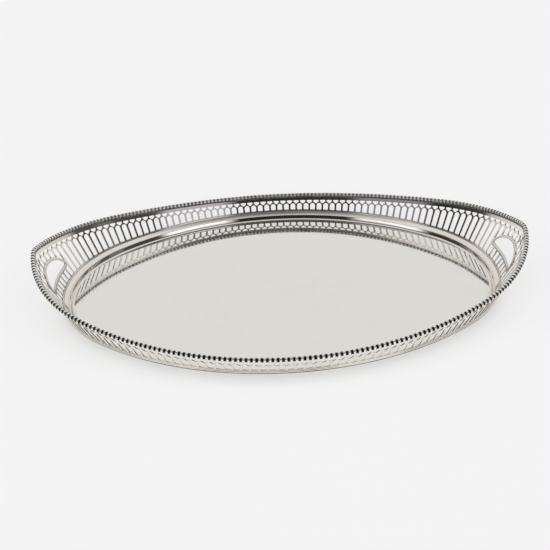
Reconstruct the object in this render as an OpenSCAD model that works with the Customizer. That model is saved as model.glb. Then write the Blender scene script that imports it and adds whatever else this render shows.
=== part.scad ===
// Oval serving tray with a flat polished base, a stepped border, a tall pierced
// gallery that rises to a soft peak at each end, a hand-hole in each end and a
// beaded rim.  All pieces are soldered together; nothing moves.
//
// Frame: +X along the length, +Y to the rear, +Z up.  The origin is on the
// resting plane, in the middle of the foot rim.

/* [Overall] */
// Length over the beads at the raised ends
tray_l = 500; // [460:1:560]
// Width over the beads at the middle of the sides
tray_w = 347; // [335:1:365]
// Height of the bead tops at the middle of the sides
side_h = 29.5; // [28:0.5:34]
// Height of the bead tops at the ends
end_h = 58.5; // [56:0.5:66]
// How late the rim starts to climb towards the ends
rise_power = 2.2; // [2:0.1:2.8]

/* [Gallery] */
// Height of the gallery's foot above the table
gallery_z = 11.2; // [10.8:0.1:12]
// Radius of the plan's end arcs, at the gallery's foot
end_r = 129; // [115:1:137]
// Outward lean of the gallery at the middle of the sides, from vertical
lean_side = 26; // [22:1:32]
// Outward lean of the gallery at the ends, from vertical
lean_end = 28.5; // [24:0.5:31]
// Thickness of the gallery strip, measured level
wall_t = 1.2; // [1:0.1:1.6]
// Pitches in a quarter of the gallery
slots_quarter = 39; // [36:1:40]
// Width of a slot
slot_w = 5.6; // [4.8:0.1:5.7]
// Height of the plain strip below the slots
slot_foot = 0.8; // [0.6:0.1:1.4]
// Rise of the round arch at a slot's top
arch_rise = 2.7; // [2.2:0.1:3]
// Plain band between the beads and the shield holes
band_h = 3.5; // [3:0.1:3.7]
// Height of a shield hole
shield_h = 3.6; // [3.2:0.1:3.8]
// Half the top width of a shield hole
shield_w = 2.9; // [2.4:0.1:3]
// Pitches from an end's middle to the seam between end and side panels
seam_at = 8; // [7:1:10]

/* [Hand holes] */
// Half the width of a hand-hole, along the gallery's foot
hole_half = 27.8; // [26:0.2:27.8]
// Height of a hand-hole's flat lower edge above the gallery's foot
hole_low = 12.4; // [12:0.1:13]
// Height of a hand-hole at its middle
hole_h = 14.4; // [13:0.1:15.2]
// Width of the plain edging round a hand-hole
edging_w = 2.5; // [2:0.1:2.6]
// Thickness of the edging, measured level
edging_t = 2.2; // [1.8:0.1:2.6]

/* [Beaded rim] */
// Diameter of the rim wire over its beads
bead_d = 4.3; // [3.8:0.1:4.6]

/* [Base] */
// Height of the flat plate's polished face above the table
plate_z = 3.5; // [3:0.1:4]
// Thickness of the flat plate
plate_t = 1.3; // [1:0.1:1.6]
// How far the flat plate's edge lies inside the gallery's foot
plate_in = 10.4; // [10:0.1:11]
// How far the foot rim's outer face lies inside the gallery's foot
foot_in = 12.4; // [12:0.2:14]
// Width of the foot rim
foot_w = 2.6; // [2:0.2:4]

/* [Hidden] */
silver = [0.80, 0.79, 0.77];
silver_dark = [0.62, 0.61, 0.60];
bead_r = bead_d / 2;
top_end = end_h - bead_d - gallery_z;      // top edge of the strip above its foot
top_side = side_h - bead_d - gallery_z;
// Half axes of the plan at the gallery's foot
oa = tray_l / 2 - bead_r - (top_end + bead_r) * tan(lean_end);
ob = tray_w / 2 - bead_r - (top_side + bead_r) * tan(lean_side);
// Four-centre oval: side arc radius, angle of the arcs' common point, arc lengths
side_r = (ob * ob + (oa - end_r) * (oa - end_r) - end_r * end_r) / (2 * (ob - end_r));
meet = atan2(side_r - ob, oa - end_r);
len_end = end_r * meet * PI / 180;
len_q = len_end + side_r * (90 - meet) * PI / 180;
pitch = len_q / slots_quarter;
turn = 4 * slots_quarter;                  // pitches all round

// Point of the first quarter at arc length l from the +X end: x, y and outward normal
function quarter(l) = l < len_end
    ? let (a = l / end_r * 180 / PI) [oa - end_r + end_r * cos(a), end_r * sin(a), cos(a), sin(a)]
    : let (a = meet + (l - len_end) / side_r * 180 / PI) [side_r * cos(a), ob - side_r + side_r * sin(a), cos(a), sin(a)];
// Point of the oval at i pitches, counted from the +X end towards +Y
function oval(i) = let (
    m = i - turn * floor(i / turn),
    k = floor(m / slots_quarter),
    t = m - k * slots_quarter,
    q = quarter(pitch * (k % 2 == 0 ? t : slots_quarter - t)),
    sx = (k == 0 || k == 3) ? 1 : -1,
    sy = k < 2 ? 1 : -1) [q[0] * sx, q[1] * sy, q[2] * sx, q[3] * sy];
// 0 at the middle of a side, 1 at an end
function endness(i) = let (m = i - 2 * slots_quarter * floor(i / (2 * slots_quarter)))
    1 - (m < slots_quarter ? m : 2 * slots_quarter - m) / slots_quarter;
soft = 0.01;                               // rounding of the peak at each end
function climb(u) = let (
    a = 1 - sqrt((1 - u) * (1 - u) + soft * soft),
    a0 = 1 - sqrt(1 + soft * soft))
    pow(max(0, (a - a0) / (1 - soft - a0)), rise_power);
// Height of the strip's top edge above its foot
function top(i) = top_side + (top_end - top_side) * climb(endness(i));
function lean(i) = lean_side + (lean_end - lean_side) * pow(endness(i), 2);
// Point of the gallery: i pitches round, h above the foot, d outside the middle surface
function wall(i, h, d) = let (q = oval(i), o = h * tan(lean(i)) + d)
    [q[0] + q[2] * o, q[1] + q[3] * o, gallery_z + h];

// ---- Regular cell of the gallery, from one bar's middle to the next ----
sw = slot_w / 2 / pitch;                   // half slot in pitches
gw = shield_w / pitch;
function cell(i, lo0, lo1, sl) = let (      // i = left bar; lo0, lo1 = lower edge; sl = slot foot
    t0 = top(i), t1 = top(i + 1), tm = top(i + 0.5),
    ap = tm - band_h - shield_h + 0.1)
   [[i, lo0], [i + 1, lo1],
    [i + 1, t1 - band_h - shield_h], [i + 1 - gw, t1 - band_h], [i + 1, t1 - band_h], [i + 1, t1],
    [i, t0], [i, t0 - band_h], [i + gw, t0 - band_h], [i, t0 - band_h - shield_h],
    [i + 0.5 - sw, sl], [i + 0.5 + sw, sl], [i + 0.5 + sw, ap - arch_rise],
    [i + 0.5 + 0.72 * sw, ap - 0.28 * arch_rise], [i + 0.5, ap],
    [i + 0.5 - 0.72 * sw, ap - 0.28 * arch_rise], [i + 0.5 - sw, ap - arch_rise]];
cell_tri = [[0, 1, 11], [0, 11, 10], [1, 2, 12], [1, 12, 11], [2, 13, 12], [2, 3, 13], [3, 14, 13],
    [3, 8, 14], [3, 4, 5], [3, 5, 6], [3, 6, 8], [8, 6, 7], [14, 8, 15], [8, 9, 15], [9, 16, 15],
    [9, 0, 16], [0, 10, 16]];
// Open edges of a cell that carry a thickness face: lower edge, shields, upper edge, slot
cell_rim = [[0, 1], [2, 3], [3, 4], [5, 6], [7, 8], [8, 9],
    [11, 10], [12, 11], [13, 12], [14, 13], [15, 14], [16, 15], [10, 16]];
cell_left = [[6, 7], [9, 0]];
cell_right = [[1, 2], [4, 5]];

// ---- Cell below a hand-hole ----
function low_cell(i, hi) = [[i, 0], [i + 1, 0], [i + 1, hi], [i, hi],
    [i + 0.5 - sw, slot_foot], [i + 0.5 + sw, slot_foot], [i + 0.5 + sw, hi - 1.3], [i + 0.5 - sw, hi - 1.3]];
low_tri = [[0, 1, 5], [0, 5, 4], [1, 2, 6], [1, 6, 5], [2, 3, 7], [2, 7, 6], [3, 0, 4], [3, 4, 7]];
low_rim = [[0, 1], [2, 3], [5, 4], [6, 5], [7, 6], [4, 7]];

// Cell that holds the end of a hand-hole; x grows away from the end's middle
fit = 0.42;                                // clearance between panel and edging
soft_corner = 1.6;                         // rounding of the hand-hole's lower corners
cut_g = edging_w + fit;
cut_lo = hole_low - cut_g;
hole_hw = min(hole_half, 4 * pitch - cut_g - 0.6);   // stays inside four pitches
cut_half = hole_hw + cut_g;
// Upper edge of the opening for the edging, x in millimetres from the end's middle
function cut_top(x) = hole_low + soft_corner
    + (hole_h - soft_corner + cut_g) * pow(max(0, 1 - pow(x / cut_half, 2)), 0.65);
function end_cell() = let (
    t0 = top(3), t1 = top(4), tm = top(3.5), ap = tm - band_h - shield_h + 0.1,
    x0 = 3 * pitch, x1 = cut_half)
   [[3, 0], [4, 0], [4, t1 - band_h - shield_h], [4 - gw, t1 - band_h], [4, t1 - band_h], [4, t1],
    [3, t0], [3, t0 - band_h], [3 + gw, t0 - band_h], [3, t0 - band_h - shield_h],
    [3, cut_top(x0)],                                        // 10 .. 15: edge of the opening
    [(x0 + 0.45 * (x1 - x0)) / pitch, cut_top(x0 + 0.45 * (x1 - x0))],
    [(x0 + 0.80 * (x1 - x0)) / pitch, cut_top(x0 + 0.80 * (x1 - x0))],
    [x1 / pitch, hole_low + soft_corner],
    [(x1 - 1.2) / pitch, cut_lo + 0.6],
    [3.50, cut_lo], [3, cut_lo],
    [3.5 - sw, slot_foot], [3.5 + sw, slot_foot], [3.5 + sw, cut_lo - 1.3], [3.5 - sw, cut_lo - 1.3],
    [3.5 - sw + 0.02, cut_top(3.25 * pitch) + 0.9], [3.5 + sw, cut_top(3.62 * pitch)],
    [3.5 + sw, ap - arch_rise], [3.5, ap], [3.5 - sw + 0.02, ap - arch_rise]];
end_tri = [
    [0, 1, 18], [0, 18, 17], [0, 17, 20], [0, 20, 16], [16, 20, 15], [20, 19, 15], [15, 19, 14],
    [1, 19, 18], [1, 14, 19], [1, 13, 14], [1, 2, 13], [2, 12, 13], [2, 22, 12], [22, 11, 12],
    [22, 21, 11], [21, 10, 11], [21, 9, 10], [21, 25, 9], [2, 23, 22], [2, 3, 23], [3, 24, 23],
    [3, 8, 24], [8, 25, 24], [8, 9, 25], [3, 4, 5], [3, 5, 6], [3, 6, 8], [8, 6, 7]];
end_rim = [[0, 1], [2, 3], [3, 4], [5, 6], [7, 8], [8, 9], [10, 11], [11, 12], [12, 13], [13, 14],
    [14, 15], [15, 16], [18, 17], [19, 18], [20, 19], [17, 20], [22, 21], [23, 22], [24, 23], [25, 24], [21, 25]];

// A cell as a block of the polyhedron: outer face, inner face and thickness faces.
// The block holds 2n points: n outside, then n inside.
function block_pts(c) = concat([for (p = c) wall(p[0], p[1], wall_t / 2)],
                               [for (p = c) wall(p[0], p[1], -wall_t / 2)]);
function block_faces(b, n, tri, rim, flip = false) = concat(
    [for (t = tri) flip ? [b + t[0], b + t[1], b + t[2]] : [b + t[2], b + t[1], b + t[0]]],
    [for (t = tri) flip ? [b + n + t[2], b + n + t[1], b + n + t[0]] : [b + n + t[0], b + n + t[1], b + n + t[2]]],
    [for (e = rim) flip ? [b + e[1], b + e[0], b + n + e[0]] : [b + e[0], b + e[1], b + n + e[1]]],
    [for (e = rim) flip ? [b + e[1], b + n + e[0], b + n + e[1]] : [b + e[0], b + n + e[1], b + n + e[0]]]);

// Side panel: regular cells from pitch i0 to pitch i1
module side_panel(i0, i1) {
    n = 17;
    cells = [for (i = [i0:i1 - 1]) cell(i, 0, 0, slot_foot)];
    pts = [for (c = cells) each block_pts(c)];
    m = len(cells);
    faces = [for (k = [0:m - 1]) each block_faces(2 * n * k, n, cell_tri,
        concat(cell_rim, k == 0 ? cell_left : [], k == m - 1 ? cell_right : []))];
    polyhedron(points = pts, faces = faces, convexity = 12);
}

// End panel about the +X end, with the opening for the edged hand-hole.
// mirrored = cells on the -Y side, drawn by reflecting the pitch number
function refl(c) = [for (p = c) [-p[0], p[1]]];
module end_panel() {
    q = seam_at;
    up = [for (i = [0:2]) cell(i, cut_top(i * pitch), cut_top((i + 1) * pitch),
          max(cut_top(i * pitch), cut_top((i + 1) * pitch)) + 1.3)];
    lowc = [for (i = [0:2]) low_cell(i, cut_lo)];
    reg = [for (i = [4:q - 1]) cell(i, 0, 0, slot_foot)];
    half = concat([for (c = up) [c, 0]], [for (c = lowc) [c, 1]], [[end_cell(), 2]], [for (c = reg) [c, 3]]);
    blocks = concat([for (h = half) [h[0], h[1], false]], [for (h = half) [refl(h[0]), h[1], true]]);
    start = [for (a = 0, k = 0; k <= len(blocks); a = a + (k < len(blocks) ? 2 * len(blocks[k][0]) : 0), k = k + 1) a];
    tris = [cell_tri, low_tri, end_tri, cell_tri];
    rims = [cell_rim, low_rim, end_rim, cell_rim];
    pts = [for (b = blocks) each block_pts(b[0])];
    faces = [for (k = [0:len(blocks) - 1]) let (b = blocks[k])
        each block_faces(start[k], len(b[0]), tris[b[1]],
            concat(rims[b[1]], (b[1] == 3 && b[0][0][0] == (b[2] ? 1 - q : q - 1)) ? cell_right : []), b[2])];
    polyhedron(points = pts, faces = faces, convexity = 12);
}

// Outline of a hand-hole, grown by g, at parameter a in degrees: pitch number and height.
// The upper half is a low arch, the lower edge is flat with rounded corners.
function hole_pt(a, g) = let (
    c = cos(a), s = sin(a), hw = hole_hw + g,
    x = hw * sign(c) * pow(abs(c), s >= 0 ? 1 : 0.5),
    y = s >= 0
        ? hole_low + soft_corner + (hole_h - soft_corner + g) * pow(s, 1.3)
        : hole_low + soft_corner - (soft_corner + g) * pow(-s, 0.6))
    [x / pitch, y];
module edging() {
    n = 44;
    d = edging_t / 2;
    pts = [for (k = [0:n - 1]) let (a = hole_pt(360 * k / n, 0), b = hole_pt(360 * k / n, edging_w))
        each [wall(a[0], a[1], d), wall(b[0], b[1], d), wall(b[0], b[1], -d), wall(a[0], a[1], -d)]];
    faces = [for (k = [0:n - 1], j = [0:3]) let (
        a = 4 * k + j, b = 4 * k + (j + 1) % 4, c = 4 * ((k + 1) % n) + (j + 1) % 4, e = 4 * ((k + 1) % n) + j)
        each [[a, c, b], [a, e, c]]];
    polyhedron(points = pts, faces = faces, convexity = 6);
}

// Rim wire from pitch i0 to pitch i1, in steps of half a pitch near the ends
module rim_wire(i0, i1, step) {
    n = round((i1 - i0) / step);
    m = 8;
    pts = [for (k = [0:n]) let (i = i0 + (i1 - i0) * k / n, q = oval(i), t = top(i) + 0.05, o = (t + bead_r) * tan(lean(i)))
        for (j = [0:m - 1]) let (a = 360 * (j + 0.5) / m, r = bead_r / cos(180 / m))
            [q[0] + q[2] * (o + r * cos(a)), q[1] + q[3] * (o + r * cos(a)), gallery_z + t + bead_r + r * sin(a)]];
    faces = concat(
        [for (k = [0:n - 1], j = [0:m - 1]) let (a = m * k + j, b = m * k + (j + 1) % m) each [[a, b + m, a + m], [a, b, b + m]]],
        [[for (j = [m - 1:-1:0]) j]], [[for (j = [0:m - 1]) m * n + j]]);
    polyhedron(points = pts, faces = faces, convexity = 6);
}

// Closed profile (offset from the gallery's foot, height) carried round the oval
module ring(profile, n) {
    m = len(profile);
    pts = [for (k = [0:n - 1]) let (q = oval(turn * k / n)) for (p = profile)
        [q[0] + q[2] * p[0], q[1] + q[3] * p[0], p[1]]];
    faces = [for (k = [0:n - 1], j = [0:m - 1]) let (
        a = m * k + j, b = m * k + (j + 1) % m, c = m * ((k + 1) % n) + (j + 1) % m, e = m * ((k + 1) % n) + j)
        each [[a, e, c], [a, c, b]]];
    polyhedron(points = pts, faces = faces, convexity = 8);
}

// Flat four-centre oval, parallel to the gallery's foot at offset o
module oval_flat(o) {
    xt = oa - end_r + (end_r + o) * cos(meet);
    union() {
        intersection() {
            translate([0, ob - side_r]) circle(r = side_r + o, $fn = 360);
            translate([0, side_r - ob]) circle(r = side_r + o, $fn = 360);
            square([2 * xt, 4 * ob], center = true);
        }
        for (s = [-1, 1]) translate([s * (oa - end_r), 0]) circle(r = end_r + o, $fn = 240);
    }
}

module base_plate() {
    color(silver) translate([0, 0, plate_z - plate_t])
        linear_extrude(height = plate_t) oval_flat(-plate_in);
}

// Stepped border: a broad low lip beside the plate, a steep cove, a fine half-round
// line, a sloping band and the seat for the gallery
module border_moulding() {
    g = 0.27 - plate_in;
    z = plate_z;
    zt = gallery_z - 1.35;
    color(silver) ring([
        [g, z - plate_t], [g, z + 0.2], [g + 0.6, z + 0.4], [g + 2.2, z + 0.6], [g + 3.6, z + 0.5],
        [-6.0, z + 0.85], [-5.3, z + 2.0], [-4.6, z + 3.4], [-4.15, zt - 1.3], [-3.6, zt - 0.9], [-3.1, zt - 1.15],
        [-1.4, zt + 0.15], [-0.98, zt], [0.75, zt], [0.72, zt - 1.1], [0.2, zt - 1.7], [-1.2, zt - 2.5],
        [-3.0, zt - 3.9], [-4.8, zt - 5.4], [-6.4, z - 0.6], [g + 2.0, z - plate_t]], 96);
}

module foot_rim() {
    color(silver_dark) linear_extrude(height = plate_z - plate_t)
        difference() { oval_flat(-foot_in); oval_flat(-foot_in - foot_w); }
}

// Plain wire between the border's seat and the gallery
module gallery_foot_wire() {
    z = gallery_z - 0.68;
    color(silver) ring([for (j = [0:5]) let (a = -60 * j - 30) [-0.1 + 0.78 * cos(a), z + 0.65 * sin(a)]], 96);
}

module gallery_front() { color(silver) side_panel(2 * slots_quarter + seam_at, 4 * slots_quarter - seam_at); }
module gallery_rear() { color(silver) side_panel(seam_at, 2 * slots_quarter - seam_at); }
module gallery_right_end() { color(silver) end_panel(); }
module gallery_left_end() { color(silver) mirror([1, 0, 0]) end_panel(); }
module hole_edging_right() { color(silver_dark) edging(); }
module hole_edging_left() { color(silver_dark) mirror([1, 0, 0]) edging(); }
module bead_rim_front() { color(silver_dark) rim_wire(2 * slots_quarter + seam_at, 4 * slots_quarter - seam_at, 1); }
module bead_rim_rear() { color(silver_dark) rim_wire(seam_at, 2 * slots_quarter - seam_at, 1); }
module bead_rim_right_end() { color(silver_dark) rim_wire(-seam_at, seam_at, 0.5); }
module bead_rim_left_end() { color(silver_dark) rim_wire(2 * slots_quarter - seam_at, 2 * slots_quarter + seam_at, 0.5); }

base_plate();
border_moulding();
foot_rim();
gallery_foot_wire();
gallery_front();
gallery_rear();
gallery_left_end();
gallery_right_end();
hole_edging_left();
hole_edging_right();
bead_rim_front();
bead_rim_rear();
bead_rim_left_end();
bead_rim_right_end();
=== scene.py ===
import math

import bpy
import numpy as np
from mathutils import Matrix, Vector
from mathutils.geometry import delaunay_2d_cdt


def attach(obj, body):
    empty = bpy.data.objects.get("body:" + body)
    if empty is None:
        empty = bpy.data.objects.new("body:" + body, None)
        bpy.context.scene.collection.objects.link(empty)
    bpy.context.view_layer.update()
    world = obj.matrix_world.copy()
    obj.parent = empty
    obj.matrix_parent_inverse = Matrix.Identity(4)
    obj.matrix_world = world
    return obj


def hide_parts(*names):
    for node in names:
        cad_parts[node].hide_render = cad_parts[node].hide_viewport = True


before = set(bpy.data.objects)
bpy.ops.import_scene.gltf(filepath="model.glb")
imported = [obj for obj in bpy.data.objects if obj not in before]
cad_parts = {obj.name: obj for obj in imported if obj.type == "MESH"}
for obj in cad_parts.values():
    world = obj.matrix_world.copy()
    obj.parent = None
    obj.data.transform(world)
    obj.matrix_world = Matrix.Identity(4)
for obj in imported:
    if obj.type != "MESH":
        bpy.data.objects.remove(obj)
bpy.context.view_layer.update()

MM = 0.001
rad = math.radians

# ------------------------------------------------------------------ the tray's geometry, in millimetres
# The same surface as the CAD part: i counts pitches round the oval from the +X end
# towards +Y, h is the height above the gallery's foot, d the level offset outwards.
TRAY_L, TRAY_W, SIDE_H, END_H, RISE = 500.0, 347.0, 29.5, 58.5, 2.2
GALLERY_Z, END_R, LEAN_S, LEAN_E, WALL_T, NQ = 11.2, 129.0, 26.0, 28.5, 1.2, 39
SLOT_W, SLOT_FOOT, BAND_H, SHIELD_H, SHIELD_W, SEAM = 5.6, 0.8, 3.5, 3.6, 2.9, 8
HOLE_LOW, HOLE_H, EDGE_W, EDGE_T, SOFT_C = 12.4, 14.4, 2.5, 2.2, 1.6
BEAD_D, PLATE_Z, PLATE_T, PLATE_IN, FOOT_IN, FOOT_W = 4.3, 3.5, 1.3, 10.4, 12.4, 2.6
SOFT = 0.01
BR = BEAD_D / 2
TOP_E = END_H - BEAD_D - GALLERY_Z
TOP_S = SIDE_H - BEAD_D - GALLERY_Z
OA = TRAY_L / 2 - BR - (TOP_E + BR) * math.tan(rad(LEAN_E))
OB = TRAY_W / 2 - BR - (TOP_S + BR) * math.tan(rad(LEAN_S))
SIDE_R = (OB * OB + (OA - END_R) ** 2 - END_R**2) / (2 * (OB - END_R))
MEET = math.atan2(SIDE_R - OB, OA - END_R)
LEN_END = END_R * MEET
LEN_Q = LEN_END + SIDE_R * (math.pi / 2 - MEET)
PITCH = LEN_Q / NQ
TURN = 4 * NQ
HOLE_HALF = min(27.8, 4 * PITCH - EDGE_W - 0.42 - 0.6)


def oval(i):
    i = np.asarray(i, float)
    m = np.mod(i, TURN)
    k = np.minimum(np.floor(m / NQ).astype(int), 3)
    t = m - k * NQ
    l = PITCH * np.where(k % 2 == 0, t, NQ - t)
    a = np.where(l < LEN_END, l / END_R, MEET + (l - LEN_END) / SIDE_R)
    x = np.where(l < LEN_END, OA - END_R + END_R * np.cos(a), SIDE_R * np.cos(a))
    y = np.where(l < LEN_END, END_R * np.sin(a), OB - SIDE_R + SIDE_R * np.sin(a))
    sx = np.where((k == 0) | (k == 3), 1.0, -1.0)
    sy = np.where(k < 2, 1.0, -1.0)
    return x * sx, y * sy, np.cos(a) * sx, np.sin(a) * sy


def endness(i):
    m = np.mod(np.asarray(i, float), 2 * NQ)
    return 1 - np.where(m < NQ, m, 2 * NQ - m) / NQ


def top(i):
    u = endness(i)
    a = 1 - np.sqrt((1 - u) ** 2 + SOFT**2)
    a0 = 1 - math.sqrt(1 + SOFT**2)
    return TOP_S + (TOP_E - TOP_S) * np.maximum(0, (a - a0) / (1 - SOFT - a0)) ** RISE


def lean(i):
    return np.radians(LEAN_S + (LEAN_E - LEAN_S) * endness(i) ** 2)


def wall(i, h, d):
    x, y, nx, ny = oval(i)
    h = np.asarray(h, float)
    o = h * np.tan(lean(i)) + d
    return np.stack([x + nx * o, y + ny * o, GALLERY_Z + h + 0 * x], -1)


def wall_frame(i, h):
    """Unit tangent along i, unit direction up the wall and outward normal."""
    e = 0.02
    t = wall(i + e, h, 0) - wall(i - e, h, 0)
    v = wall(i, h + 0.2, 0) - wall(i, h - 0.2, 0)
    t /= np.linalg.norm(t, axis=-1, keepdims=True)
    v /= np.linalg.norm(v, axis=-1, keepdims=True)
    n = np.cross(t, v)
    n /= np.linalg.norm(n, axis=-1, keepdims=True)
    return t, v, n


# ------------------------------------------------------------------ mesh helpers
def make_mesh(name, co, faces, normals=None, cavity=None):
    me = bpy.data.meshes.new(name)
    me.from_pydata([tuple(p) for p in (np.asarray(co) * MM)], [], [tuple(int(a) for a in f) for f in faces])
    me.validate(clean_customdata=False)
    me.polygons.foreach_set("use_smooth", np.ones(len(me.polygons), bool))
    a = me.attributes.new("cavity", "FLOAT", "POINT")
    values = np.zeros(len(me.vertices), np.float32) if cavity is None else np.asarray(cavity, np.float32)
    a.data.foreach_set("value", values)
    me.update()
    if normals is not None:
        me.normals_split_custom_set_from_vertices([tuple(n) for n in normals])
    ob = bpy.data.objects.new(name, me)
    bpy.context.scene.collection.objects.link(ob)
    return ob


def grid_faces(rows, cols, base=0, close_rows=True, close_cols=True, flip=False):
    out = []
    for r in range(rows if close_rows else rows - 1):
        r2 = (r + 1) % rows
        for c in range(cols if close_cols else cols - 1):
            c2 = (c + 1) % cols
            f = (base + r * cols + c, base + r * cols + c2, base + r2 * cols + c2, base + r2 * cols + c)
            out.append(f[::-1] if flip else f)
    return out


def inside(poly, pts):
    """Points inside a closed polygon, by crossing number."""
    x, y = pts[:, 0], pts[:, 1]
    r = np.zeros(len(pts), bool)
    p, q = poly, np.roll(poly, -1, axis=0)
    for (x0, y0), (x1, y1) in zip(p, q):
        if y0 == y1:
            continue
        c = ((y0 > y) != (y1 > y)) & (x < (x1 - x0) * (y - y0) / (y1 - y0) + x0)
        r ^= c
    return r


def area2(poly):
    x, y = poly[:, 0], poly[:, 1]
    return float(np.sum(x * np.roll(y, -1) - np.roll(x, -1) * y))


# ------------------------------------------------------------------ the pierced gallery
def arch_slot(s0, foot, apex, w, rise):
    """Slot with rounded lower corners and a round arch: counter-clockwise points (mm along, height)."""
    r = 0.55
    pts = []
    for a in (180, 225, 270):
        pts.append((s0 - w + r + r * math.cos(rad(a)), foot + r + r * math.sin(rad(a))))
    for a in (270, 315, 360):
        pts.append((s0 + w - r + r * math.cos(rad(a)), foot + r + r * math.sin(rad(a))))
    for k in range(0, 13):
        a = 180 * k / 12
        pts.append((s0 + w * math.cos(rad(a)), apex - rise + rise * math.sin(rad(a)) ** 0.95))
    return np.array(pts)


def shield_half(i, side):
    """Right (side=1) or left half of the shield hole over a bar, from its apex up to the top middle."""
    t = float(top(i))
    slope = float(top(i + 0.3) - top(i - 0.3)) / (0.6 * PITCH)
    w = SHIELD_W + 0.1
    b = t - BAND_H - SHIELD_H
    path = [(0.0, 0.0), (0.62, 0.12), (1.25, 0.62), (2.05, 1.32), (w - 0.12, 1.98), (w, 2.5), (w, SHIELD_H - 0.45), (w - 0.4, SHIELD_H), (0.0, SHIELD_H)]
    return [(i * PITCH + side * x, b + y + (side * x * slope if y > 1 else side * x * slope * 0.8)) for x, y in path]


def shield(i):
    a = shield_half(i, 1)
    b = shield_half(i, -1)
    return np.array(a + b[1:-1][::-1])


def hole_outline(g, n, close=False):
    """Outline of a hand-hole grown by g, counter-clockwise from the +s side: mm along and height."""
    out = []
    for k in range(n):
        a = 2 * math.pi * k / n
        c, s = math.cos(a), math.sin(a)
        hw = HOLE_HALF + g
        x = hw * math.copysign(abs(c) ** (1.0 if s >= 0 else 0.5), c)
        if s >= 0:
            y = HOLE_LOW + SOFT_C + (HOLE_H - SOFT_C + g) * s**1.3
        else:
            y = HOLE_LOW + SOFT_C - (SOFT_C + g) * (-s) ** 0.6
        out.append((x, y))
    return np.array(out)


def edge_top(x, g):
    """Upper outline of a hand-hole grown by g, at x millimetres from the end's middle."""
    hw = HOLE_HALF + g
    return HOLE_LOW + SOFT_C + (HOLE_H - SOFT_C + g) * max(0.0, 1 - (x / hw) ** 2) ** 0.65


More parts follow.
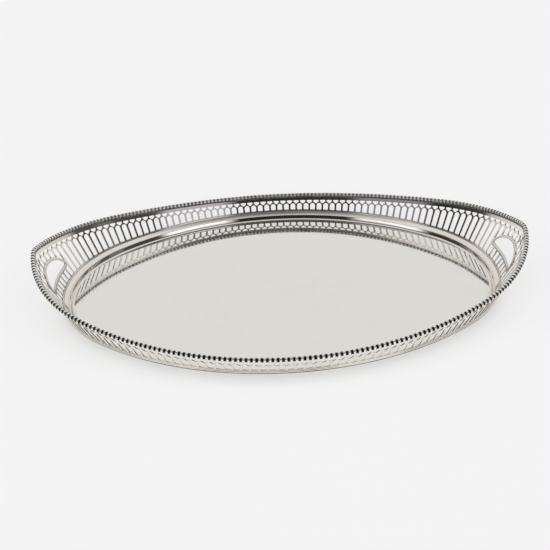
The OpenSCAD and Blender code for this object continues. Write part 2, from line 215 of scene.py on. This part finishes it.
def pierced(name, i0, i1, end=False):
    """A gallery panel from pitch i0 to pitch i1, with its slots and shield holes cut right through."""
    mid = TURN / 2 if i0 > NQ else 0.0          # the end panels' middle
    holes = []
    for k in range(i0, i1):
        c = k + 0.5
        apex = float(top(c)) - BAND_H - SHIELD_H + 0.32
        x = (c - mid) * PITCH
        if end and abs(c - mid) < 4:
            w = SLOT_W / 2
            lo = HOLE_LOW - EDGE_W - 0.25
            r = 0.55
            holes.append(np.array([(c * PITCH - w, SLOT_FOOT + r), (c * PITCH - w + r, SLOT_FOOT), (c * PITCH + w - r, SLOT_FOOT), (c * PITCH + w, SLOT_FOOT + r),
                                   (c * PITCH + w, lo - r), (c * PITCH + w - r, lo), (c * PITCH - w + r, lo), (c * PITCH - w, lo - r)]))
            # short slot over the hand-hole: its foot follows the edging
            def low(dx):
                return edge_top(x + dx, EDGE_W) + 0.3
            n = 13
            pts = [(c * PITCH - w, max(low(-w), low(-w * 0.7)) + 0.15), (c * PITCH - w * 0.6, low(-w * 0.6)), (c * PITCH, low(0)), (c * PITCH + w * 0.6, low(w * 0.6)), (c * PITCH + w, max(low(w), low(w * 0.7)) + 0.15)]
            rise = min(2.7, apex - max(pts[0][1], pts[-1][1]) - 0.3)
            for j in range(n):
                a = math.pi * j / (n - 1)
                pts.append((c * PITCH + w * math.cos(a), apex - rise + rise * math.sin(a) ** 0.95))
            holes.append(np.array(pts))
        else:
            holes.append(arch_slot(c * PITCH, SLOT_FOOT, apex, SLOT_W / 2, 2.75))
    for k in range(i0 + 1, i1):
        holes.append(shield(k))
    if end:
        o = hole_outline(EDGE_W * 0.55, 72)
        o[:, 0] += mid * PITCH
        holes.append(o)
    # outer outline, counter-clockwise: foot, right seam, top, left seam
    outer = [(i0 * PITCH + PITCH * k / 2, 0.0) for k in range(0, 2 * (i1 - i0) + 1)]
    outer += shield_half(i1, -1)
    n = 4 * (i1 - i0)
    outer += [((i1 - (i1 - i0) * k / n) * PITCH, float(top(i1 - (i1 - i0) * k / n)) + 0.25) for k in range(0, n + 1)]
    outer += shield_half(i0, 1)[::-1]
    outer = np.array(outer)
    loops = [outer] + holes
    for k, l in enumerate(loops):
        keep = np.linalg.norm(l - np.roll(l, 1, axis=0), axis=1) > 1e-4
        l = l[keep]
        a = area2(l)
        if (k == 0) != (a > 0):
            l = l[::-1]
        loops[k] = l                            # metal lies on the left of every loop
    b = 0.2
    s_lo, s_hi = i0 * PITCH, i1 * PITCH
    pos, ins, nin = [], [], []
    edges = []
    start = 0
    for l in loops:
        e = np.roll(l, -1, axis=0) - l
        e /= np.linalg.norm(e, axis=1, keepdims=True)
        m = np.stack([-e[:, 1], e[:, 0]], 1)    # left normal of each edge
        v = m + np.roll(m, 1, axis=0)
        ln = np.linalg.norm(v, axis=1, keepdims=True)
        v = v / np.maximum(ln, 1e-6)
        grow = np.minimum(1.0 / np.maximum(np.sum(v * m, axis=1, keepdims=True), 0.5), 1.6)
        d = v * grow * b
        seam = (np.abs(l[:, 0] - s_lo) < 1e-3) | (np.abs(l[:, 0] - s_hi) < 1e-3)
        d[seam, 0] = 0.0
        pos.append(l)
        ins.append(l + d)
        nin.append(v)
        n = len(l)
        edges += [(start + k, start + (k + 1) % n) for k in range(n)]
        start += n
    P, I, V = np.concatenate(pos), np.concatenate(ins), np.concatenate(nin)
    total = len(P)
    res = delaunay_2d_cdt([Vector((float(a), float(c))) for a, c in I], edges, [], 0, 1e-6, True)
    vco, _, tris, vorig = np.array([tuple(v) for v in res[0]]), res[1], res[2], res[3]
    back = [o[0] if o else -1 for o in vorig]
    tris = np.array([[back[a] for a in t] for t in tris if len(t) == 3])
    tris = tris[(tris >= 0).all(1)]
    cen = I[tris].mean(1)
    ok = inside(I[: len(pos[0])], cen)
    start = len(pos[0])
    for l in pos[1:]:
        hole = I[start : start + len(l)]
        near = (cen[:, 0] > hole[:, 0].min()) & (cen[:, 0] < hole[:, 0].max())
        idx = np.where(near)[0]
        ok[idx[inside(hole, cen[idx])]] = False
        start += len(l)
    tris = tris[ok]
    # orientation: make every triangle counter-clockwise in (s, h), which faces outwards
    a, c, d = I[tris[:, 0]], I[tris[:, 1]], I[tris[:, 2]]
    sgn = (c[:, 0] - a[:, 0]) * (d[:, 1] - a[:, 1]) - (c[:, 1] - a[:, 1]) * (d[:, 0] - a[:, 0])
    tris[sgn < 0] = tris[sgn < 0][:, ::-1]
    half = WALL_T / 2
    iF, hF = I[:, 0] / PITCH, I[:, 1]
    iP, hP = P[:, 0] / PITCH, P[:, 1]
    tF, vF, nF = wall_frame(iF, hF)
    tP, vP, nP = wall_frame(iP, hP)
    out = -(V[:, :1] * tP + V[:, 1:] * vP)
    bev = b * 0.9
    co = np.concatenate([wall(iF, hF, half), wall(iP, hP, half - bev), wall(iP, hP, -half + bev), wall(iF, hF, -half)])
    nr = np.concatenate([nF, out, out, -nF])
    faces = [tuple(t) for t in tris] + [tuple(t[::-1] + 3 * total) for t in tris]
    start = 0
    for l in pos:
        n = len(l)
        for k in range(n):
            p, q = start + k, start + (k + 1) % n
            for r in range(3):
                faces.append((p + r * total, p + (r + 1) * total, q + (r + 1) * total, q + r * total))
        start += n
    # painted shade: the cut walls of the slots and holes get 0.6 against 0.25 on the faces, and the strip near the foot
    # is darker still; the faces' share is tarnish
    cav = np.concatenate([np.full(total, 0.25), np.full(total, 0.6), np.full(total, 0.6), np.full(total, 0.25)])
    low = np.concatenate([hF, hP, hP, hF])
    cav = np.clip(cav + 0.10 * np.clip(1 - low / 1.6, 0, 1), 0, 1)
    return make_mesh(name, co, faces, nr, cav)


# ------------------------------------------------------------------ edging of the hand-holes
def edging(name, mid):
    n, m = 168, 20
    co = []
    cav = []
    for j in range(m):
        a = 2 * math.pi * j / m
        c, s = math.cos(a), math.sin(a)
        u = EDGE_W / 2 * (1 - math.copysign(abs(c) ** 0.5, c))
        d = EDGE_T / 2 * math.copysign(abs(s) ** 0.45, s)
        o = hole_outline(u, n)
        co.append(wall(o[:, 0] / PITCH + mid, o[:, 1], d))
        # painted shadow line: the band's outer edge, where it meets the wall, is darkened; the rest keeps a light
        # tarnish
        cav.append(np.full(n, 0.75 if c < -0.85 else 0.15))
    co = np.array(co).transpose(1, 0, 2).reshape(-1, 3)
    cav = np.array(cav).T.reshape(-1)
    return make_mesh(name, co, grid_faces(n, m), None, cav)


# ------------------------------------------------------------------ beaded rim
def rim_curve(i):
    x, y, nx, ny = oval(i)
    t = top(i) + 0.05
    o = (t + BR) * np.tan(lean(i))
    return np.stack([x + nx * o, y + ny * o, GALLERY_Z + t + BR], -1)


def bead_rim(name, i0, i1):
    ii = np.linspace(i0, i1, 4001)
    c = rim_curve(ii)
    L = np.concatenate([[0], np.cumsum(np.linalg.norm(np.diff(c, axis=0), axis=1))])
    beads = int(round(L[-1] / 4.55))
    rings = 10
    m = 14
    u = (1 - np.cos(np.pi * np.arange(rings) / rings)) / 2
    s = np.concatenate([(k + u) for k in range(beads)] + [[beads]]) / beads * L[-1]
    w = np.abs(2 * u - 1)
    f = np.concatenate([np.tile((1 - w**2.4) ** 0.5, beads), [0.0]])
    # painted shade: gap darkens the necks between the beads, and the mask below is strongest on their outer side
    gap = np.concatenate([np.tile(np.interp(w, [0.0, 0.3, 0.48, 0.64, 1.0], [0.0, 0.04, 0.35, 1.0, 1.0]), beads), [1.0]])
    ci = np.interp(s, L, ii)
    p = rim_curve(ci)
    e = 0.05
    T = rim_curve(ci + e) - rim_curve(ci - e)
    T /= np.linalg.norm(T, axis=1, keepdims=True)
    _, _, nx, ny = oval(ci)
    N = np.stack([nx, ny, 0 * nx], 1)
    N -= T * np.sum(N * T, axis=1, keepdims=True)
    N /= np.linalg.norm(N, axis=1, keepdims=True)
    B = np.cross(T, N)
    r = 1.62 + (BR - 1.62) * f
    co, cav = [], []
    for j in range(m):
        a = 2 * math.pi * j / m
        co.append(p + (N * math.cos(a) + B * math.sin(a)) * r[:, None])
        cav.append(gap * (0.74 + 0.26 * math.cos(a)))
    R = len(s)
    co = np.array(co).transpose(1, 0, 2).reshape(-1, 3)
    cav = np.array(cav).T.reshape(-1)
    faces = grid_faces(R, m, close_rows=False)
    faces.append(tuple(range(m))[::-1])
    faces.append(tuple(range((R - 1) * m, R * m)))
    # collar: a thin half-round line on each face of the strip, under the beads
    base = len(co)
    ci = np.linspace(i0, i1, 8 * (i1 - i0) + 1)
    k = 10
    ring = []
    for j in range(k):
        a = 2 * math.pi * j / k
        dd = 0.82 * math.copysign(abs(math.cos(a)) ** 0.8, math.cos(a))
        hh = top(ci) - 0.05 + 0.5 * math.copysign(abs(math.sin(a)) ** 0.8, math.sin(a))
        ring.append(wall(ci, hh, dd))
    ring = np.array(ring).transpose(1, 0, 2).reshape(-1, 3)
    n = len(ci)
    faces += grid_faces(n, k, base, close_rows=False)
    faces.append(tuple(base + j for j in range(k))[::-1])
    faces.append(tuple(base + (n - 1) * k + j for j in range(k)))
    co = np.concatenate([co, ring])
    # painted shade under the beads: the collar is darkened fully on its outer face and about half on its inner face
    cav = np.concatenate([cav, np.tile([1.0 if math.cos(2 * math.pi * j / k) > 0.1 else 0.55 for j in range(k)], n)])
    return make_mesh(name, co, faces, None, cav)


# ------------------------------------------------------------------ rings of the base
def smooth_path(pts, sub=4):
    """Catmull-Rom curve through open points, sub steps between neighbours."""
    p = np.array([pts[0]] + list(pts) + [pts[-1]], float)
    out = []
    for k in range(1, len(p) - 2):
        for j in range(sub):
            t = j / sub
            a, b, c, d = p[k - 1], p[k], p[k + 1], p[k + 2]
            out.append(0.5 * (2 * b + (c - a) * t + (2 * a - 5 * b + 4 * c - d) * t * t + (3 * b - a - 3 * c + d) * t**3))
    out.append(p[-2])
    return [tuple(q) for q in out]


def ring(name, profile, n=520, cavity=None):
    prof = np.array(profile, float)
    i = TURN * np.arange(n) / n
    x, y, nx, ny = oval(i)
    m = len(prof)
    co = np.stack([x[:, None] + nx[:, None] * prof[None, :, 0], y[:, None] + ny[:, None] * prof[None, :, 0], np.broadcast_to(prof[None, :, 1], (n, m))], -1)
    cav = np.zeros((n, m)) if cavity is None else np.broadcast_to(np.array(cavity)[None, :], (n, m))
    area = area2(prof)
    return make_mesh(name, co.reshape(-1, 3), grid_faces(n, m, flip=area < 0), None, cav.reshape(-1))


def border(name):
    z = PLATE_Z
    g = 0.03 - PLATE_IN
    # from the plate outwards: broad low lip, steep cove, fine half-round line, sloping band, seat
    lip = smooth_path([(g, z + 0.01), (g + 0.12, z + 0.14), (g + 0.4, z + 0.29), (g + 0.9, z + 0.49), (g + 1.35, z + 0.65), (g + 1.75, z + 0.70), (g + 2.4, z + 0.60), (g + 3.1, z + 0.42)], 3)
    cove = smooth_path([(-7.16, z + 0.40), (-7.04, z + 0.60), (-6.82, z + 1.10), (-6.56, z + 1.75), (-6.30, z + 2.42), (-6.08, z + 3.02), (-5.92, z + 3.52)], 3)
    line = smooth_path([(-5.87, z + 3.62), (-5.80, z + 3.86), (-5.58, z + 4.02), (-5.18, z + 4.20), (-4.98, z + 4.24), (-4.84, z + 4.16)], 4)
    band = smooth_path([(-4.76, z + 4.10), (-4.60, z + 4.16), (-3.20, z + 5.06), (-1.90, z + 5.94), (-1.35, z + 6.34), (-1.10, z + 6.48), (-1.0, z + 6.42)], 3)
    upper = lip + cove + line + band + [(-0.98, z + 6.34), (0.60, z + 6.34)]
    lower = smooth_path([(0.70, z + 6.28), (0.80, z + 6.05), (0.80, z + 5.55), (0.76, z + 5.15), (0.66, z + 4.65), (0.42, z + 4.15), (-0.3, z + 3.62), (-1.5, z + 2.95), (-2.9, z + 2.05), (-4.7, z + 0.80),
                         (-6.2, z - 0.45), (-7.4, z - 1.12), (g + 1.2, z - 1.27), (g + 0.2, z - 1.28)], 3)
    prof = upper + lower + [(g, z - 1.28)]
    marks = [len(lip), len(lip) + len(cove), len(lip) + len(cove) + len(line), len(upper) - 2]
    # painted shade and tarnish in the grooves between the mouldings and at the seat under the foot wire; the underside
    # is darkened almost fully as painted shade; the upper faces keep a light tarnish
    cav = []
    for k, (x, h) in enumerate(prof):
        c = 0.08
        if k >= len(upper):
            c = float(np.interp(h - z, [-1.2, 0.5, 5.1, 5.45, 6.3], [0.5, 1.0, 1.0, 0.2, 0.05]))
        elif min(abs(k - m + 0.5) for m in marks) < 1.0:
            c = 0.85
        elif k > len(upper) - 3:
            c = 0.3
        cav.append(c)
    return ring(name, prof, 560, cav)


def foot_wire(name):
    z = GALLERY_Z - 0.68
    prof = []
    for j in range(16):
        t = -2 * math.pi * (j + 0.5) / 16
        c, q = math.cos(t), math.sin(t)
        prof.append((-0.1 + 0.78 * math.copysign(abs(c) ** 0.45, c), z + 0.64 * math.copysign(abs(q) ** 0.6, q)))
    return ring(name, prof, 560, [0.06] * 16)


def foot_ring(name):
    a, b = -FOOT_IN, -FOOT_IN - FOOT_W
    zt = PLATE_Z - PLATE_T
    r = 0.9
    p = [(a, zt)]
    for k in range(0, 7):
        t = rad(90 * k / 6)
        p.append((a - r + r * math.cos(t), r - r * math.sin(t)))
    for k in range(0, 7):
        t = rad(90 * k / 6)
        p.append((b + r - r * math.sin(t), r - r * math.cos(t)))
    p.append((b, zt))
    # painted shade at the ring's top edges, where it meets the plate; the rest keeps a light tarnish
    return ring(name, p, 420, [0.6] + [0.15] * 14 + [0.6])


# ------------------------------------------------------------------ materials
def new_material(name):
    m = bpy.data.materials.new(name)
    m.use_nodes = True
    nt = m.node_tree
    return m, nt, nt.nodes["Principled BSDF"]


def node(nt, kind, **props):
    n = nt.nodes.new(kind)
    for k, v in props.items():
        setattr(n, k, v)
    return n


def noise(nt, vec, scale, detail=4.0, rough=0.55, dist=0.0):
    n = node(nt, "ShaderNodeTexNoise")
    n.inputs["Scale"].default_value = scale
    n.inputs["Detail"].default_value = detail
    n.inputs["Roughness"].default_value = rough
    n.inputs["Distortion"].default_value = dist
    nt.links.new(vec, n.inputs["Vector"])
    return n.outputs["Fac"]


def ramp(nt, fac, stops):
    n = node(nt, "ShaderNodeValToRGB")
    r = n.color_ramp
    while len(r.elements) > 1:
        r.elements.remove(r.elements[-1])
    r.elements[0].position = stops[0][0]
    r.elements[0].color = stops[0][1]
    for p, c in stops[1:]:
        e = r.elements.new(p)
        e.color = c
    nt.links.new(fac, n.inputs["Fac"])
    return n.outputs["Color"]


def grey(v):
    return (v, v, v, 1.0)


def math_node(nt, op, a, b=None, clamp=False):
    n = node(nt, "ShaderNodeMath", operation=op, use_clamp=clamp)
    for k, v in enumerate((a, b)):
        if v is None:
            continue
        if isinstance(v, (int, float)):
            n.inputs[k].default_value = v
        else:
            nt.links.new(v, n.inputs[k])
    return n.outputs[0]


def mix_colour(nt, fac, a, b, blend="MIX"):
    n = node(nt, "ShaderNodeMix", data_type="RGBA", blend_type=blend)
    for s, v in ((n.inputs[0], fac), (n.inputs[6], a), (n.inputs[7], b)):
        if isinstance(v, (int, float)):
            s.default_value = v
        elif isinstance(v, tuple):
            s.default_value = v
        else:
            nt.links.new(v, s)
    return n.outputs[2]


def silver(name, clean, tarnish_and_shade, rough_lo, rough_hi, tarnish_and_shade_gain, scratch=0.35, wave=0.0, use_cavity=True):
    """Silver plate: metallic, clouded roughness, fine wear scratches, tarnish blots, and darkening from the cavity
    attribute that is tarnish and painted shade in gaps, grooves and undersides.
    """
    m, nt, bsdf = new_material(name)
    bsdf.inputs["Metallic"].default_value = 1.0
    tc = node(nt, "ShaderNodeTexCoord").outputs["Object"]
    cloud = noise(nt, tc, 14.0, 5.0, 0.6)
    speck = noise(nt, tc, 620.0, 3.0, 0.6)
    blot = noise(nt, tc, 46.0, 6.0, 0.65, 0.4)
    # fine scratches in three directions: long thin noise
    lines = []
    for k, (ang, sc) in enumerate(((17.0, 900.0), (74.0, 760.0), (131.0, 1100.0))):
        mp = node(nt, "ShaderNodeMapping")
        mp.inputs["Rotation"].default_value = (0.0, 0.0, rad(ang))
        mp.inputs["Scale"].default_value = (1.0, 0.035, 0.25)
        mp.inputs["Location"].default_value = (0.37 * k, 0.11 * k, 0.0)
        nt.links.new(tc, mp.inputs["Vector"])
        l = noise(nt, mp.outputs["Vector"], sc, 2.0, 0.5, 0.0)
        lines.append(ramp(nt, l, [(0.0, grey(0.0)), (0.655, grey(0.0)), (0.70, grey(1.0)), (1.0, grey(1.0))]))
    s1 = math_node(nt, "MAXIMUM", lines[0], lines[1])
    scratches = math_node(nt, "MAXIMUM", s1, lines[2])
    # tarnish and painted shade mask: random tarnish blots, plus painted shade from the cavity attribute in gaps,
    # grooves, undersides and piercing walls
    base = ramp(nt, blot, [(0.0, grey(0.0)), (0.50, grey(0.0)), (0.74, grey(0.55)), (1.0, grey(1.0))])
    if use_cavity:
        cav = node(nt, "ShaderNodeAttribute", attribute_name="cavity").outputs["Fac"]
        held = math_node(nt, "MULTIPLY", cav, math_node(nt, "ADD", math_node(nt, "MULTIPLY", blot, 0.9), 0.55), clamp=True)
        mask = math_node(nt, "ADD", math_node(nt, "MULTIPLY", held, tarnish_and_shade_gain), math_node(nt, "MULTIPLY", base, 0.10), clamp=True)
    else:
        mask = math_node(nt, "MULTIPLY", base, tarnish_and_shade_gain, clamp=True)
    warm = mix_colour(nt, cloud, (clean[0], clean[1], clean[2], 1.0), (clean[0] * 0.985, clean[1] * 0.975, clean[2] * 0.955, 1.0))
    col = mix_colour(nt, mask, warm, (tarnish_and_shade[0], tarnish_and_shade[1], tarnish_and_shade[2], 1.0))
    nt.links.new(col, bsdf.inputs["Base Color"])
    r0 = ramp(nt, cloud, [(0.0, grey(rough_lo)), (0.35, grey(rough_lo)), (0.75, grey(rough_hi)), (1.0, grey(rough_hi))])
    r1 = math_node(nt, "ADD", r0, math_node(nt, "MULTIPLY", mask, 0.22))
    r2 = math_node(nt, "ADD", r1, math_node(nt, "MULTIPLY", scratches, 0.10 * scratch))
    r3 = math_node(nt, "ADD", r2, math_node(nt, "MULTIPLY", speck, 0.02), clamp=True)
    nt.links.new(r3, bsdf.inputs["Roughness"])
    b1 = node(nt, "ShaderNodeBump")
    b1.inputs["Strength"].default_value = 0.25 * scratch
    b1.inputs["Distance"].default_value = 0.00004
    nt.links.new(scratches, b1.inputs["Height"])
    last = b1
    if wave:
        w = noise(nt, tc, 9.0, 2.0, 0.5)
        b2 = node(nt, "ShaderNodeBump")
        b2.inputs["Strength"].default_value = 1.0
        b2.inputs["Distance"].default_value = wave
        nt.links.new(w, b2.inputs["Height"])
        nt.links.new(b1.outputs["Normal"], b2.inputs["Normal"])
        last = b2
    nt.links.new(last.outputs["Normal"], bsdf.inputs["Normal"])
    return m


# the gallery's and the border's clean colours below are lifted and warmed: painted warm reflected light
PLATE = silver("plate_silver", (0.90, 0.895, 0.875), (0.62, 0.57, 0.48), 0.025, 0.06, 0.10, 0.5, 0.00025, use_cavity=False)
# border, gallery, edging, beading and foot: the second colour is tarnish and also the painted-shade colour wherever the
# cavity attribute darkens the piece; the beading's near-black one is almost all painted shade in the gaps and under the
# beads
BORDER = silver("border_silver", (0.96, 0.925, 0.875), (0.10, 0.08, 0.06), 0.03, 0.06, 0.95, 0.30, 0.00010)
GALLERY = silver("gallery_silver", (0.98, 0.94, 0.885), (0.17, 0.145, 0.115), 0.05, 0.09, 0.45, 0.4, 0.00012)
EDGING = silver("edging_silver", (0.86, 0.85, 0.83), (0.14, 0.12, 0.10), 0.06, 0.12, 0.75, 0.4)
BEADING = silver("beading_silver", (0.96, 0.95, 0.93), (0.012, 0.010, 0.009), 0.40, 0.48, 1.25, 0.2)
FOOT = silver("foot_silver", (0.84, 0.82, 0.78), (0.2, 0.16, 0.12), 0.12, 0.22, 0.9, 0.8)


def dress(ob, mat):
    ob.data.materials.clear()
    ob.data.materials.append(mat)


# ------------------------------------------------------------------ build
pieces = []


def add(ob, mat, node_name):
    dress(ob, mat)
    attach(ob, "root")
    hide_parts(node_name)
    pieces.append(ob)
    return ob


add(pierced("pierced_gallery_rear", SEAM, 2 * NQ - SEAM), GALLERY, "gallery_rear")
add(pierced("pierced_gallery_front", 2 * NQ + SEAM, 4 * NQ - SEAM), GALLERY, "gallery_front")
add(pierced("pierced_gallery_right_end", -SEAM, SEAM, True), GALLERY, "gallery_right_end")
add(pierced("pierced_gallery_left_end", 2 * NQ - SEAM, 2 * NQ + SEAM, True), GALLERY, "gallery_left_end")
add(edging("edging_band_right", 0.0), EDGING, "hole_edging_right")
add(edging("edging_band_left", 2.0 * NQ), EDGING, "hole_edging_left")
add(bead_rim("beads_rear", SEAM, 2 * NQ - SEAM), BEADING, "bead_rim_rear")
add(bead_rim("beads_front", 2 * NQ + SEAM, 4 * NQ - SEAM), BEADING, "bead_rim_front")
add(bead_rim("beads_right_end", -SEAM, SEAM), BEADING, "bead_rim_right_end")
add(bead_rim("beads_left_end", 2 * NQ - SEAM, 2 * NQ + SEAM), BEADING, "bead_rim_left_end")
add(border("ogee_border"), BORDER, "border_moulding")
add(foot_wire("foot_wire_of_gallery"), BORDER, "gallery_foot_wire")
add(foot_ring("rounded_foot_rim"), FOOT, "foot_rim")
dress(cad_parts["base_plate"], PLATE)


# ------------------------------------------------------------------ floor, light, camera
def make_floor():
    size = 9.0
    me = bpy.data.meshes.new("floor")
    me.from_pydata([(-size, -size, 0), (size, -size, 0), (size, size, 0), (-size, size, 0)], [], [(0, 1, 2, 3)])
    ob = bpy.data.objects.new("floor", me)
    bpy.context.scene.collection.objects.link(ob)
    m, nt, bsdf = new_material("pale_floor")
    tc = node(nt, "ShaderNodeTexCoord").outputs["Object"]
    c = noise(nt, tc, 1.3, 2.0, 0.5)
    col = ramp(nt, c, [(0.0, grey(FLOOR_DIFFUSE - 0.008)), (1.0, grey(FLOOR_DIFFUSE + 0.008))])
    nt.links.new(col, bsdf.inputs["Base Color"])
    bsdf.inputs["Roughness"].default_value = 0.95
    bsdf.inputs["Specular IOR Level"].default_value = 0.0
    # a light table: the floor glows a little, which keeps the shadow faint
    bsdf.inputs["Emission Color"].default_value = (1.0, 1.0, 1.0, 1.0)
    bsdf.inputs["Emission Strength"].default_value = FLOOR_GLOW
    me.materials.append(m)
    return ob


FLOOR_DIFFUSE, FLOOR_GLOW, DOME = 0.42, 0.51, 0.95
make_floor()

world = bpy.data.worlds.new("studio")
bpy.context.scene.world = world
world.use_nodes = True
wt = world.node_tree
bg = wt.nodes["Background"]
tc = node(wt, "ShaderNodeTexCoord").outputs["Generated"]
sep = node(wt, "ShaderNodeSeparateXYZ")
wt.links.new(tc, sep.inputs[0])
# signed azimuth from the front (-Y), plus to the right: 0 = straight behind, 0.5 = the front
az = math_node(wt, "ARCTAN2", sep.outputs["X"], math_node(wt, "MULTIPLY", sep.outputs["Y"], -1.0))
turn = math_node(wt, "ADD", math_node(wt, "DIVIDE", az, 2 * math.pi), 0.5)


def at(deg):
    return 0.5 + deg / 360.0


pale = (0.79, 0.785, 0.77, 1)
softer = (0.62, 0.605, 0.585, 1)
black = (0.018, 0.018, 0.019, 1)


def around(panel_l, panel_r):
    return ramp(wt, turn, [
        (at(-180), pale), (at(-140), pale), (at(-116), softer), (at(-107), (0.05, 0.05, 0.05, 1)), (at(-65), black), (at(-59), panel_l), (at(-36), panel_l), (at(-30), black),
        (at(17), black), (at(23), panel_r), (at(46), panel_r), (at(51), (0.04, 0.04, 0.04, 1)), (at(66), (0.05, 0.05, 0.05, 1)), (at(72), (0.16, 0.16, 0.16, 1)), (at(82), (0.16, 0.16, 0.16, 1)),
        (at(88), (0.07, 0.07, 0.07, 1)), (at(104), (0.08, 0.08, 0.08, 1)), (at(113), softer), (at(140), pale), (at(180), pale)])


low = around((1.2, 1.2, 1.25, 1), (1.5, 1.5, 1.6, 1))
high = around((0.26, 0.25, 0.30, 1), (0.50, 0.49, 0.56, 1))
lift = ramp(wt, sep.outputs["Z"], [(0.0, grey(0.0)), (0.23, grey(0.0)), (0.34, grey(1.0)), (1.0, grey(1.0))])
zone = mix_colour(wt, lift, low, high)
# overhead: a dark ceiling in front, the pale sweep behind
fore = math_node(wt, "ADD", math_node(wt, "MULTIPLY", sep.outputs["Y"], 0.5), 0.5)
ceiling = ramp(wt, fore, [(0.0, grey(0.13)), (0.46, grey(0.12)), (0.56, pale), (1.0, pale)])
up = ramp(wt, sep.outputs["Z"], [(0.0, grey(0.0)), (0.70, grey(0.0)), (0.85, grey(1.0)), (1.0, grey(1.0))])
seen = mix_colour(wt, up, zone, ceiling)
# mirrors see those surroundings; everything else is lit by a pale dome, stronger from the front
glossy = node(wt, "ShaderNodeLightPath").outputs["Is Glossy Ray"]
dome = ramp(wt, fore, [(0.0, grey(DOME * 1.65)), (0.45, grey(DOME * 1.5)), (0.56, grey(DOME * 0.45)), (1.0, grey(DOME * 0.35))])
sky = mix_colour(wt, glossy, dome, seen)
wt.links.new(sky, bg.inputs["Color"])
bg.inputs["Strength"].default_value = 1.0

A, E, ROLL = rad(0.01923), rad(29.26587), rad(-2.90216)
DIST, TX, TY = 3.54732 * 0.25, -0.02377 * 0.25, 0.04977 * 0.25
backv = Vector((math.sin(A) * math.cos(E), -math.cos(A) * math.cos(E), math.sin(E)))
right0 = Vector((math.cos(A), math.sin(A), 0.0))
up0 = right0.cross(-backv)
R = math.cos(ROLL) * right0 + math.sin(ROLL) * up0
U = -math.sin(ROLL) * right0 + math.cos(ROLL) * up0
C = backv * DIST + right0 * TX + up0 * TY
cam_data = bpy.data.cameras.new("camera")
cam = bpy.data.objects.new("camera", cam_data)
bpy.context.scene.collection.objects.link(cam)
cam_data.sensor_width = 36.0
cam_data.lens = 851.49627 / 550.0 * 36.0
cam_data.clip_start = 0.01
cam_data.clip_end = 60.0
cam.matrix_world = Matrix(((R.x, U.x, backv.x, C.x), (R.y, U.y, backv.y, C.y), (R.z, U.z, backv.z, C.z), (0, 0, 0, 1)))
bpy.context.scene.camera = cam
bpy.context.scene.view_settings.view_transform = "Standard"
bpy.context.scene.view_settings.look = "None"

bpy.context.view_layer.update()
